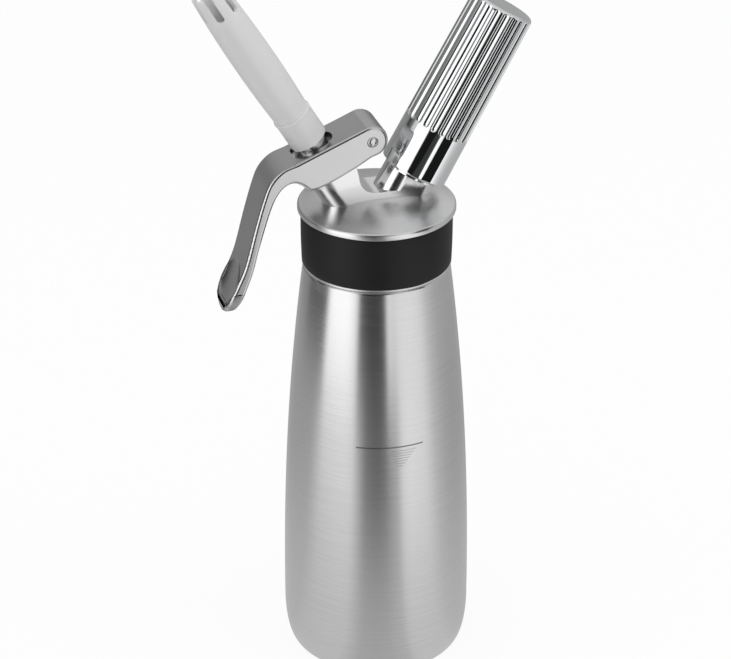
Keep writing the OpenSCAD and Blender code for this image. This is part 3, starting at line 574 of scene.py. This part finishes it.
def makeHead():
    s = headSize
    low = -s["rimThick"]
    foot = low - s["bandHeight"]
    lipEnd = foot - s["lipHeight"]
    dome = [(0, s["domeRise"])] + [(domeRadius * i / 26, domeZ(domeRadius * i / 26)) for i in range(2, 27)]
    rim = arc((domeRadius, -s["rimRound"]), s["rimRound"], 75, 0, 8)
    under = arc((s["rimRadius"] - 0.5, low + 0.5), 0.5, 0, -90, 4)
    lip = [(s["skirtOut"], low), (s["skirtOut"], foot), (s["lipRadius"] - 0.2, foot),
           (s["lipRadius"], foot - 0.2), (s["lipRadius"], lipEnd + 0.25), (s["lipRadius"] - 0.25, lipEnd)]
    inner = [(s["skirtIn"], lipEnd), (s["skirtIn"], low), (s["hollowRadius"], low)]
    ceiling = [(s["hollowRadius"] * i / 12, domeZ(s["hollowRadius"] * i / 12) + low)
               for i in range(12, 0, -1)]
    profile = dome + rim + under + lip + inner + ceiling + [(0, s["domeRise"] + low)]
    shell = turned("headCasting", profile, 144)

    # block with the valve housing, the saddle and the ear for the pin
    noseX = -s["noseOffset"] - s["blockHalf"] - 1
    base = [(x, domeZ(abs(x)) + low / 2)
            for x in [s["blockFrom"] + s["blockLength"] * i / 12 for i in range(13)]]
    lean = math.tan(math.radians(chargerAxis["lean"]))
    outline = base + [(chargerAxis["x"] + s["saddleZ"] * lean, s["saddleZ"])]
    outline += arc((s["saddleX"], s["saddleZ"] + s["saddleRadius"]), s["saddleRadius"], -90, -180, 16)
    outline += [(s["saddleX"] - s["saddleRadius"] - s["saddleLip"],
                 s["saddleZ"] + s["saddleRadius"] + s["saddleRise"])]
    outline += arc((s["pinX"], s["pinZ"]), s["earRadius"], -50, 90 + s["earSide"], 20)
    outline += [alongValve(s["blockHalf"] + s["shoulderX"], s["housingTop"] + s["shoulderUp"]),
                alongValve(s["blockHalf"], s["housingTop"]), alongValve(noseX, s["housingTop"]),
                alongValve(noseX, 2)]
    block = drawn("block", outline, 2 * s["blockHalf"] + 4)
    move(block, (0, 0, rimZ))
    longEnough = 60
    section = stadium("section", s["blockHalf"], longEnough, -60, 90)
    move(section, (-s["noseOffset"], 0, 0))
    onAxis(section, valveAxis)
    combined(block, section, "INTERSECT")
    rounded(block, s["edgeRound"], 32, 3)

    # charger port: flat-sided foot, then the threaded part that the holder covers
    longer = s["footIn"] + s["footOut"] - 2 * s["blockHalf"]
    foot = stadium("foot", s["blockHalf"], longer, 0, s["footTop"])
    move(foot, (s["blockHalf"] - s["footIn"], 0, 0))
    rounded(foot, s["footRound"], 60, 4)
    onAxis(foot, chargerAxis)
    bpy.ops.object.select_all(action="DESELECT")
    # a cube under the foot's lower end cuts it level
    side = 0.1
    bpy.ops.mesh.primitive_cube_add(size=side, location=(0, 0, (rimZ + s["footZ"]) * mm - side / 2))
    under = bpy.context.object
    bpy.ops.object.transform_apply(location=True)
    cut(foot, under)
    port = [(0, s["portEnd"]), (s["bossRadius"], s["portEnd"]), (s["bossRadius"], s["footTop"] - 1),
            (s["portRadius"], s["footTop"] - 1)]
    root = s["portRadius"] - s["grooveDepth"]
    for i in range(s["grooves"]):
        z = s["portTop"] - s["grooveStart"] + i * s["groovePitch"]
        port += [(s["portRadius"], z), (root, z + 0.1), (root, z + 0.7), (s["portRadius"], z + 0.8)]
    port += [(s["portRadius"], s["portTop"] - 0.4), (s["portRadius"] - 0.4, s["portTop"]),
             (0, s["portTop"])]
    portPiece = onAxis(turned("port", port, 112), chargerAxis)
    throat = onAxis(turned("throat", [
        (0, s["housingEnd"]), (s["throatRadius"] - 0.4, s["housingEnd"]),
        (s["throatRadius"], s["housingEnd"] + 0.4), (s["throatRadius"], 6), (0, 6)], 64), valveAxis)
    move(shell, (0, 0, rimZ))
    joined(shell, block, foot, portPiece, throat)

    chargerBore = onAxis(turned("chargerBore", [
        (0, s["portEnd"] - 2), (s["needleBore"], s["portEnd"] - 2), (s["needleBore"], s["needleTop"]),
        (s["insertBore"], s["needleTop"]), (s["insertBore"], s["portSeat"]), (s["gasketBore"], s["portSeat"]),
        (s["gasketBore"], s["funnelZ"]), (s["mouthBore"], s["portTop"]), (s["mouthBore"], 40), (0, 40)],
        64), chargerAxis)
    valveBore = onAxis(turned("valveBore", [
        (0, s["housingEnd"] - 2), (s["bushRadius"], s["housingEnd"] - 2), (s["bushRadius"], s["bushTop"]),
        (s["springBore"], s["bushTop"]), (s["springBore"], s["housingTop"] - 0.4),
        (s["springBore"] + 0.5, s["housingTop"] + 0.1), (s["springBore"] + 0.5, longEnough),
        (0, longEnough)], 64), valveAxis)
    pinBore = turned("pinBore", [(0, -s["pinReach"]), (s["pinBore"], -s["pinReach"]),
                                 (s["pinBore"], s["pinReach"]), (0, s["pinReach"])], 32)
    move(pinBore, (s["pinX"], 0, rimZ + s["pinZ"]), 0, (90, 0, 0))
    cut(shell, chargerBore, valveBore, pinBore)
    finished(shell, headFinish(), "head", "head_steel", "head", angle=40, weighted=True)


# ---- grip band

bandSize = {
    # the side from the foot up, in radius and height
    "side": [(30.2, 0), (30.5, 0.12), (30.62, 0.45), (30.72, 4), (30.84, 8), (30.9, 13)],
    "radius": 30.9, "topRound": 0.8, "belowRound": 0.3,
}


def makeBand():
    s = bandSize
    inner = headSize["skirtOut"]
    top = rimZ - headSize["rimThick"]
    foot = top - headSize["bandHeight"]
    outer = [(r, foot + up) for r, up in s["side"]]
    outer += [(s["radius"], top - s["topRound"] - s["belowRound"])]
    outer += arc((s["radius"] - s["topRound"], top - s["topRound"]), s["topRound"], 0, 80, 5)
    piece = turned("gripBand", [(inner, foot)] + outer + [(inner, top)], 144)
    black = rubberFinish("bandRubber", (0.006, 1.05, 1.12))
    finished(piece, black, "head", "band_rubber", "grip_band")


# ---- lever

leverSize = {
    "width": 20.4, "cheekGap": 0.5, "strapThick": 2, "endRadius": 6.5, "strapSlope": 22.5, "strapLength": 31,
    "slotLength": 19, "slotWidth": 12.4, "slotShift": 1.6, "slotAlong": 28.2,
    "tipZ": -39.5, "cavityEnd": -37.5, "edgeRound": 1.5, "endExtra": 0.06,
    "pinRadius": 2.0, "pinSink": 0.3, "mergeDistance": 0.08,
    "inner": [(-54.2, -20), (-51.4, -9.6), (-46.6, 5.8), (-43.4, 12.5), (-40.2, 15.7), (-37, 16.5),
              (-34, 15.2), (-31, 12.8), (-27.6, 12.7), (-21.3, 14.9), (-11.2, 19.9), (-5.2, 23.4)],
    "outer": [(-42.2, 22.2), (-47, 17.4), (-49.9, 10.4), (-53.3, -1), (-57.5, -16.6), (-61, -25)],
    "endOuter": [(-64.2, -31.5), (-65.7, -35.3)], "end": [(-66.4, -42), (-61.6, -42)],
    "endInner": [(-60.4, -35.7), (-57.8, -29.5)],
    "restMiddle": (-61.9, -27), "restLift": 2.5, "restSize": (4, 12.4, 11.6), "restLean": 25,
}


def makeLever():
    s = leverSize
    pin = Vector((headSize["pinX"], headSize["pinZ"]))
    slope = math.radians(s["strapSlope"])
    along = Vector((math.cos(slope), math.sin(slope)))
    up = Vector((-math.sin(slope), math.cos(slope)))
    strapEnd = pin + s["endRadius"] * up - s["strapLength"] * along
    outline = arc(pin, s["endRadius"], -70, s["strapSlope"] + 90, 32)
    outline += smoothCurve([tuple(strapEnd)] + s["outer"] + s["endOuter"])
    outline += s["end"] + smoothCurve(s["endInner"] + s["inner"])
    body = drawn("leverCasting", outline, s["width"])

    # round end of the handle, seen from the front
    r = s["width"] / 2 + s["endExtra"]
    profile = arc((0, s["tipZ"] + r), r, 180, 360, 60) + [(r, 60), (-r, 60)]
    front = drawn("front", profile, 200)
    move(front, turn=(0, 0, 90))
    combined(body, front, "INTERSECT")
    # scoop for the finger
    bpy.ops.object.select_all(action="DESELECT")
    bpy.ops.mesh.primitive_uv_sphere_add(segments=64, ring_count=48, radius=mm)
    rest = bpy.context.object
    rest.scale = s["restSize"]
    bpy.ops.object.transform_apply(scale=True)
    lean = math.radians(s["restLean"])
    move(rest, (s["restMiddle"][0] - s["restLift"] * math.cos(lean), 0,
                s["restMiddle"][1] + s["restLift"] * math.sin(lean)), s["restLean"])
    cut(body, rest)

    strapIn = s["endRadius"] - s["strapThick"]
    corner = pin + strapIn * up
    far = corner - along * ((corner.x - s["cavityEnd"]) / math.cos(slope))
    hollow = arc(pin, strapIn, -60, s["strapSlope"] + 90, 24)
    hollow += [tuple(far), (s["cavityEnd"] - 0.5, far.y - 4), (s["cavityEnd"], 0), (60, 0)]
    cut(body, drawn("hollow", hollow, 2 * (headSize["blockHalf"] + s["cheekGap"])))

    # slot for the valve
    longer = s["slotLength"] - s["slotWidth"]
    slot = stadium("slot", s["slotWidth"] / 2, longer, -10, 10)
    move(slot, (-longer / 2 - s["slotShift"], 0, 0))
    centre = alongValve(0, s["slotAlong"])
    move(slot, (centre[0], 0, centre[1]), -s["strapSlope"])
    half = s["width"] / 2
    middle = s["tipZ"] + r
    wide = s["pinRadius"] + s["pinSink"]
    sunk = [(wide, half - 0.1), (wide, 20), (0, 20)]
    profile = [(x, -z) for x, z in reversed(sunk)]
    profile += [(s["pinRadius"], 0.4 - half), (s["pinRadius"], half - 0.4)] + sunk
    pinBore = turned("pinBore", profile, 64)
    move(pinBore, (pin.x, 0, pin.y), 0, (90, 0, 0))
    cut(body, slot, pinBore)

    near = 0.02

    def outside(x, y, z):
        # on a side away from the pin's hole, or on the handle's round end
        onSide = abs(y) > half - near and math.hypot(x - pin.x, z - pin.y) > wide + 0.5
        return onSide or (z < middle and math.hypot(y, z - middle) > r - near)

    merged(body, s["mergeDistance"])
    edgesRounded(body, s["edgeRound"], 4, outside)
    move(body, (0, 0, rimZ))
    satin = satinCast("leverSteel", 0.63, 0.19)
    finished(body, satin, "lever", "lever_steel", "lever", angle=30, weighted=True)


# ---- pivot pin

pinSize = {"radius": 2.0, "capRadius": 1.9, "capRise": 0.6, "chamfer": 0.2}


def makePin():
    s = pinSize
    half = leverSize["width"] / 2
    cap = [(s["capRadius"] * math.sin(math.radians(a)), half + s["capRise"] * math.cos(math.radians(a)))
           for a in range(15, 91, 15)]
    profile = [(0, -half - s["capRise"])] + [(x, -z) for x, z in cap]
    profile += [(s["radius"], s["chamfer"] - half), (s["radius"], half - s["chamfer"])]
    profile += cap[::-1] + [(0, half + s["capRise"])]
    piece = turned("pivotPin", profile, 48)
    move(piece, (headSize["pinX"], 0, rimZ + headSize["pinZ"]), 0, (90, 0, 0))
    steel = metalFinish("pinSteel", (0.74, 0.74, 0.74), 0.18)
    finished(piece, steel, "lever", "pin_steel", "pivot_pin")


# ---- nozzle

nozzleSize = {
    "start": 36, "length": 76.98, "radius": 7.8, "waistRadius": 7.4, "swellRadius": 8.1, "swellZ": 39,
    "mouthRadius": 6.8, "footLength": 13.5, "ridge": 0.25,
    "adapterHole": 6.0, "insertRadius": 6.75, "insertTop": 47.5, "wall": 1.2,
    "notchLength": 10, "notchWidth": 3.2, "notches": 6, "notchTurn": 105, "footWall": 1.1,
}


def nozzleSide(z):
    s = nozzleSize
    end, endZ = ("waistRadius", "footLength") if z < s["swellZ"] else ("mouthRadius", "length")
    away = (z - s["swellZ"]) / (s[endZ] - s["swellZ"])
    return s["swellRadius"] - (s["swellRadius"] - s[end]) * away ** 2


def makeNozzle():
    s = nozzleSize
    z0 = s["start"]
    top = z0 + s["length"]
    ridge = z0 + s["footLength"]
    profile = [(s["adapterHole"], z0), (s["radius"] - 0.5, z0), (s["radius"] - 0.15, z0 + 0.15),
               (s["radius"], z0 + 0.5), (s["radius"], ridge - 0.75), (s["radius"] + s["ridge"], ridge - 0.5),
               (s["radius"] + s["ridge"], ridge - 0.1), (s["waistRadius"] + 0.1, ridge + 0.15)]
    profile += [(nozzleSide(z), z0 + z) for z in
                [s["footLength"] + 0.4 + (s["length"] - s["footLength"] - 0.8) * i / 28 for i in range(29)]]
    mouth = s["mouthRadius"] - s["wall"]
    profile += [(s["mouthRadius"] - 0.3, top), (mouth + 0.2, top), (mouth, top - 0.3),
                (s["insertRadius"] - 0.4, s["insertTop"] + 0.2), (s["insertRadius"], s["insertTop"]),
                (s["insertRadius"], z0 + s["footWall"]), (s["adapterHole"], z0 + s["footWall"])]
    piece = turned("decoratingNozzle", profile, 96)
    # each cutter goes right through and makes two opposite notches
    half = s["notchWidth"] / 2
    outline = arc((0, top - s["notchLength"]), half, 180, 360, 16) + [(half, top + 1), (-half, top + 1)]
    for i in range(s["notches"] // 2):
        notch = drawn("notch", outline, 2 * (s["mouthRadius"] + 1))
        move(notch, turn=(0, 0, s["notchTurn"] + 360 / s["notches"] * i))
        cut(piece, notch)
    onAxis(piece, valveAxis)
    white = plasticFinish("nozzlePlastic", 0.68, 0.30, 0.3)
    finished(piece, white, "nozzle", "nozzle_plastic", "nozzle", angle=30)


# ---- charger holder

holderSize = {
    "start": 13.6, "length": 75.8, "radius": 14, "topRadius": 13.2, "topRound": 1.8,
    "portBore": 11.4, "portBoreEnd": 26.5, "linerBore": 10.7, "boreLength": 66.4,
    "footRound": 0.8, "edgeRound": 0.08,
    "fluteStart": 21.4, "lip": 1.9, "flutes": 24, "fluteDepth": 0.62, "fluteRadius": 2.1,
}


def makeHolder():
    s = holderSize
    z0 = s["start"]
    top = z0 + s["length"]
    boreTop = z0 + s["boreLength"]
    outer = [(s["radius"] - s["footRound"], z0), (s["radius"] - 0.35, z0 + 0.15),
             (s["radius"] - 0.1, z0 + 0.4), (s["radius"], z0 + s["footRound"])]
    outer += [(s["radius"] + (s["topRadius"] - s["radius"]) * i / 10,
               z0 + s["footRound"] + (s["length"] - s["topRound"] - s["footRound"]) * i / 10)
              for i in range(1, 10)]
    outer += arc((s["topRadius"] - s["topRound"], top - s["topRound"]), s["topRound"], 0, 90, 8)
    inside = [(0, boreTop), (s["linerBore"], boreTop), (s["linerBore"], s["portBoreEnd"]),
              (s["portBore"], s["portBoreEnd"]), (s["portBore"], z0)]
    piece = turned("chargerHolder", inside + outer + [(0, top)], 192)
    # grip flutes: long round-ended rods that follow the taper
    taper = s["radius"] - s["topRadius"]
    lean = math.degrees(math.atan(taper / s["length"]))
    low, high = z0 + s["fluteStart"], top - s["lip"]
    drop = taper * s["fluteStart"] / s["length"]
    cutters = []
    for i in range(s["flutes"]):
        bpy.ops.object.select_all(action="DESELECT")
        bpy.ops.mesh.primitive_uv_sphere_add(segments=24, ring_count=16, radius=s["fluteRadius"] * mm)
        flute = bpy.context.object
        pulled(flute, (0, 0, 1), high - low)
        move(flute, (s["radius"] - drop + s["fluteRadius"] - s["fluteDepth"], 0, low), -lean)
        move(flute, turn=(0, 0, 360 * i / s["flutes"]))
        cutters.append(flute)
    alone(cutters[0])
    for flute in cutters:
        flute.select_set(True)
    bpy.ops.object.join()
    cut(piece, cutters[0])
    rounded(piece, s["edgeRound"], 28, 1)
    onAxis(piece, chargerAxis)
    finished(piece, chromeFinish(), "holder", "holder_chrome", "charger_holder", weighted=True)


makeBottle()
makeHead()
makeBand()
makeLever()
makePin()
makeNozzle()
makeHolder()


# ---- finishes of the CAD nodes that stay

def finishNodes(material, *names):
    for name in names:
        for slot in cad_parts[name].material_slots:
            slot.material = material


finishNodes(rubberFinish("gasketRubber", (0.42, 0.10, 0.08), 0.45), "head_gasket", "port_gasket")
finishNodes(rubberFinish("sealRubber", (0.02, 1.0, 1.0), 0.5),
            "stem_o_ring", "valve_seal", "needle_gasket", "check_valve")
finishNodes(metalFinish("brass", (0.72, 0.50, 0.22), 0.28, chargerAxis), "valve_bush", "piercing_insert")
finishNodes(metalFinish("valveSteel", (0.62, 0.62, 0.62), 0.25, valveAxis),
            "valve_stem", "nozzle_adapter", "nozzle_insert", "seal_cap", "valve_spring")
finishNodes(metalFinish("chargerSteel", (0.60, 0.61, 0.63), 0.3, chargerAxis),
            "gas_charger", "charger_foil", "piercing_needle")
finishNodes(plasticFinish("washerPlastic", 0.82, 0.4, 0), "pivot_washers")
finishNodes(rubberFinish("linerPlastic", (0.05, 1.0, 1.05), 0.35), "holder_liner")


# ---- studio: a white floor, and soft surroundings that the metal reflects

studio = {
    "camera": {"azimuth": -17, "elevation": 28.08, "lens": 128.04, "sensor": 36,
               "place": (-0.2823, -0.9079, 0.6546)},
    "floorSize": 12, "paper": 0.86,
    # how much of the floor's look is plain white to the camera, and the ring of tones to reflections
    "whiteShare": 0.92, "mirrorShare": 0.95,
    # light from the surroundings, from below and from above
    "diffuse": {"low": 0.55, "high": 0.85, "from": -0.2, "to": 0.9},
    # tone round the object by azimuth from the front, seen in reflections only: the floor close by,
    # then the far floor with the horizon, then the space above
    "near": [(-180, 0.46), (-150, 0.40), (-126, 0.44), (-105, 0.48), (-86, 0.78), (-62, 0.88), (-46, 0.92),
             (-37, 0.55), (-30, 0.22), (-17, 0.13), (-6, 0.18), (0, 0.32), (8, 0.46), (14, 0.95), (22, 1.05),
             (44, 0.95), (60, 0.62), (75, 0.48), (90, 0.42), (120, 0.40), (180, 0.46)],
    "nearest": {"tone": 0.62, "share": 0.75, "from": 0.05, "to": 0.26},
    "far": [(-180, 0.24), (-140, 0.24), (-127, 0.06), (-94, 0.04), (-86, 1.6), (-56, 1.6),
            (-44, 1.15), (-41, 0.01), (-4.5, 0.01), (-3, 1.2), (2, 1.2), (5, 0.9), (10, 1.02), (32, 1.02),
            (45, 0.95), (60, 0.65), (75, 0.50), (100, 0.45), (150, 0.36), (180, 0.24)],
    "high": [(-180, 0.42), (-168, 0.38), (-150, 0.34), (-110, 0.36), (-92, 0.45), (-84, 1.25), (-56, 1.25),
             (-45, 0.3), (-38, 0.03), (2, 0.03), (12, 0.6), (30, 0.85), (60, 0.7), (100, 0.55), (140, 0.66),
             (165, 0.62), (180, 0.42)],
    "farStart": 0.39, "farEnd": 0.46, "highStart": 0.22, "highEnd": 0.36,
    "top": {"tone": 0.7, "from": 0.75, "to": 0.95},
    # a black card in front of the charger holder: in mm, left and right of its axis, and along it
    "card": {"y": -50, "left": 6.5, "right": 44, "low": 0.5, "high": 112, "tone": 0.01},
    "lampTarget": (0, 0, 0.15),
    "lamps": {"topSoftbox": {"place": (-0.3, -0.2, 1.3), "size": (1.2, 1.2), "power": 4},
              "rightSoftbox": {"place": (1.1, -0.7, 0.8), "size": (0.8, 1.2), "power": 3}},
}


def roundTone(graph, name, x, y):
    # the tone of one of the studio's rings in the direction of x and y
    angle = x.maths("ARCTAN2", y * -1) * (0.5 / math.pi) + 0.5
    stops = [((a + 180) / 360, tone) for a, tone in studio[name]]
    return graph.node("ShaderNodeValToRGB", {"stops": stops}, {0: angle})


def makeWorld():
    world = bpy.data.worlds.new("studio")
    bpy.context.scene.world = world
    world.use_nodes = True
    graph = Graph(world.node_tree)
    ray = graph.node("ShaderNodeLightPath", output="Is Camera Ray")
    glossy = ray.out("Is Glossy Ray")
    where = graph.node("ShaderNodeTexCoord", output="Generated")
    parts = graph.node("ShaderNodeSeparateXYZ", None, {0: where})
    side, up = parts.out("Y"), parts.out("Z")
    rise = graph.span(up, studio["highStart"], studio["highEnd"])
    tone = graph.blend(rise, roundTone(graph, "far", parts, side), roundTone(graph, "high", parts, side))
    top = studio["top"]
    tone = graph.blend(graph.span(up, top["from"], top["to"]), tone, grey(top["tone"]))
    soft = studio["diffuse"]
    diffuse = graph.blend(graph.span(up, soft["from"], soft["to"]), grey(soft["low"]), grey(soft["high"]))
    colour = graph.blend(glossy, diffuse, tone)
    colour = graph.blend(ray, colour, grey(1))
    background = graph.node("ShaderNodeBackground", None, {"Color": colour, "Strength": 1.0})
    graph.node("ShaderNodeOutputWorld", None, {"Surface": background})


def makeFloor():
    bpy.ops.object.select_all(action="DESELECT")
    bpy.ops.mesh.primitive_plane_add(size=studio["floorSize"])
    floor = bpy.context.object
    floor.name = "floor"
    material, graph = newMaterial("floorWhite")
    ray = graph.node("ShaderNodeLightPath", output="Is Camera Ray")
    glossy = ray.out("Is Glossy Ray")
    where = graph.node("ShaderNodeTexCoord", output="Object")
    parts = graph.node("ShaderNodeSeparateXYZ", None, {0: where})
    away = graph.node("ShaderNodeVectorMath", {"operation": "LENGTH"}, {0: where}, "Value")
    side = parts.out("Y")
    under = studio["nearest"]
    close = graph.span(away, under["from"], under["to"], under["share"], 0)
    near = graph.blend(close, roundTone(graph, "near", parts, side), grey(under["tone"]))
    seen = graph.blend(graph.span(away, studio["farStart"], studio["farEnd"]), near,
                       roundTone(graph, "far", parts, side))
    paper = graph.node("ShaderNodeBsdfDiffuse", None, {"Color": grey(studio["paper"])})
    white = graph.node("ShaderNodeEmission", None, {"Color": grey(1), "Strength": 1.0})
    mirrored = graph.node("ShaderNodeEmission", None, {"Color": seen, "Strength": 1.0})
    shown = graph.node("ShaderNodeMixShader", None, {0: ray * studio["whiteShare"], 1: paper, 2: white})
    shown = graph.node("ShaderNodeMixShader", None, {
        0: glossy * studio["mirrorShare"], 1: shown, 2: mirrored})
    graph.node("ShaderNodeOutputMaterial", None, {"Surface": shown})
    floor.data.materials.append(material)


def makeCard():
    # only reflections show the card
    card = studio["card"]
    bpy.ops.object.select_all(action="DESELECT")
    bpy.ops.mesh.primitive_plane_add(size=1)
    piece = bpy.context.object
    piece.name = "blackCard"
    piece.scale = ((card["right"] - card["left"]) * mm, (card["high"] - card["low"]) * mm, 1)
    bpy.ops.object.transform_apply(scale=True)
    middle = ((card["left"] + card["right"]) / 2, 0, (card["low"] + card["high"]) / 2)
    move(piece, middle, 0, (90, 0, 0))
    move(piece, (chargerAxis["x"], card["y"], rimZ), chargerAxis["lean"])
    material, graph = newMaterial("cardBlack")
    black = graph.node("ShaderNodeEmission", None, {"Color": grey(card["tone"]), "Strength": 1.0})
    graph.node("ShaderNodeOutputMaterial", None, {"Surface": black})
    piece.data.materials.append(material)
    piece.visible_camera = False
    piece.visible_diffuse = False
    piece.visible_shadow = False
    piece.visible_transmission = False


def makeLamps():
    target = Vector(studio["lampTarget"])
    for name, s in studio["lamps"].items():
        lamp = bpy.data.lights.new(name, "AREA")
        lamp.shape = "RECTANGLE"
        lamp.size, lamp.size_y = s["size"]
        lamp.energy = s["power"]
        piece = bpy.data.objects.new(name, lamp)
        bpy.context.scene.collection.objects.link(piece)
        piece.location = s["place"]
        piece.rotation_euler = (target - Vector(s["place"])).to_track_quat("-Z", "Y").to_euler()
        piece.visible_glossy = False


def makeCamera():
    s = studio["camera"]
    camera = bpy.data.cameras.new("camera")
    camera.lens = s["lens"]
    camera.sensor_width = s["sensor"]
    camera.clip_start = 0.01
    piece = bpy.data.objects.new("camera", camera)
    bpy.context.scene.collection.objects.link(piece)
    piece.location = s["place"]
    piece.rotation_euler = (math.radians(90 - s["elevation"]), 0, math.radians(s["azimuth"]))
    bpy.context.scene.camera = piece


makeWorld()
makeFloor()
makeCard()
makeLamps()
makeCamera()
bpy.context.scene.view_settings.view_transform = "Standard"
print("studio made")
